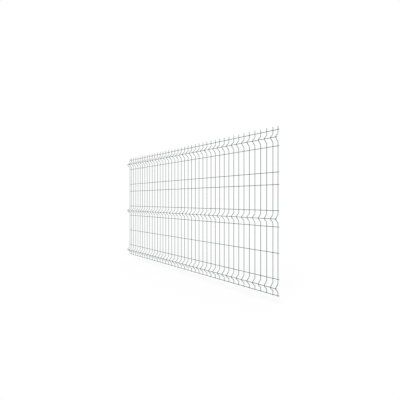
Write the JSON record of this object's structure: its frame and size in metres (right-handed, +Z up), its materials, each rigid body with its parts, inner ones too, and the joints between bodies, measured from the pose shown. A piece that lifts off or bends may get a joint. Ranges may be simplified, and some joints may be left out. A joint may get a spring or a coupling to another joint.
{
  "type": "welded mesh fence panel",
  "caption": "Long welded wire fence panel with upright wires, level wires behind them, V-shaped stiffening folds and short spikes along the top edge.",
  "frame": {"origin": "on the back flat of the lowest level wire, at the middle of the panel's length", "axes": "+X along the panel, +Y out of its back towards the posts, so the folds point to -Y, and +Z up"},
  "size_m": [2.248, 0.0435, 1.3],
  "materials": {
    "green_coat": "satin moss green powder coat over galvanised wire"
  },
  "bodies": {
    "root": {"bottom_fold_mesh": "green_coat", "lower_flat_mesh": "green_coat", "middle_fold_mesh": "green_coat", "upper_flat_mesh": "green_coat", "top_fold_mesh": "green_coat"}
  },
  "joints": []
}
